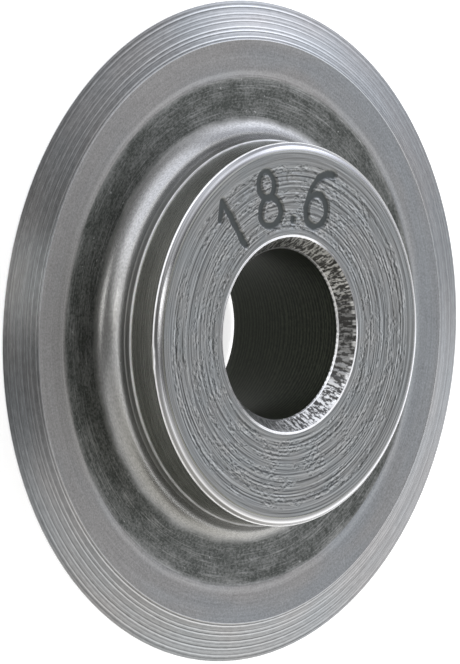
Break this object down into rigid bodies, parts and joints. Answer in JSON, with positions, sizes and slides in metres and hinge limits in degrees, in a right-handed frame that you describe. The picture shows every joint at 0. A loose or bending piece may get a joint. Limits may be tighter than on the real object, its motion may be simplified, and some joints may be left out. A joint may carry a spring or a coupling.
{
  "type": "pipe cutter wheel",
  "caption": "One-piece cutter wheel for a tube or pipe cutter: a thin bevelled steel disc on a short bored hub.",
  "frame": {"origin": "centre of the bore, in the plane of the cutting edge, which is halfway between the hub faces", "axes": "+Z along the bore's axis, out of the countersunk hub face; X and Y are equal, as the wheel is round"},
  "size_m": [0.0186, 0.0186, 0.0044],
  "materials": {
    "tool_steel": "hardened high-speed steel, ground on the disc and as turned on the hub"
  },
  "bodies": {
    "root": {"cutter_wheel": "tool_steel"}
  },
  "joints": []
}
